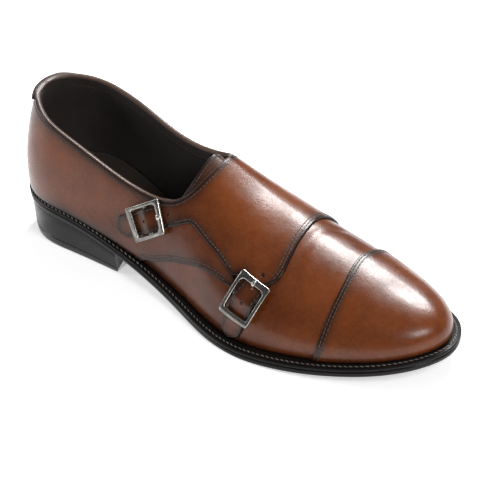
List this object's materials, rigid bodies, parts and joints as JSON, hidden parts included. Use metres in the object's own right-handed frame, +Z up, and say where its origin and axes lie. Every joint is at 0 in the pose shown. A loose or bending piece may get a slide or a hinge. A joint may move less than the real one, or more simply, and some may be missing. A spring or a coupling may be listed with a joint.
{
  "type": "monk strap shoe",
  "caption": "Right-foot leather dress shoe with a cap toe, welted sole, stacked heel and a crossover flap closed by buckled straps on the outer side.",
  "frame": {"origin": "middle of the heel's tread face, on the floor plane", "axes": "+X towards the toe, +Y towards the inner side of the foot, +Z up from the floor"},
  "size_m": [0.3022, 0.1072, 0.093],
  "materials": {
    "upper_leather": "polished",
    "lining_leather": "matte",
    "sole_edge": "polished",
    "buckle_metal": "brushed"
  },
  "bodies": {
    "root": {"outsole": "sole_edge", "heel": "sole_edge", "welt": "sole_edge", "insole": "lining_leather", "upper": "upper_leather", "tongue": "upper_leather", "toe_cap": "upper_leather", "quarter_outer": "upper_leather", "monk_flap": "upper_leather", "heel_tab": "upper_leather", "buckle_front": "buckle_metal", "prong_front": "buckle_metal", "buckle_rear": "buckle_metal", "prong_rear": "buckle_metal"}
  },
  "joints": []
}
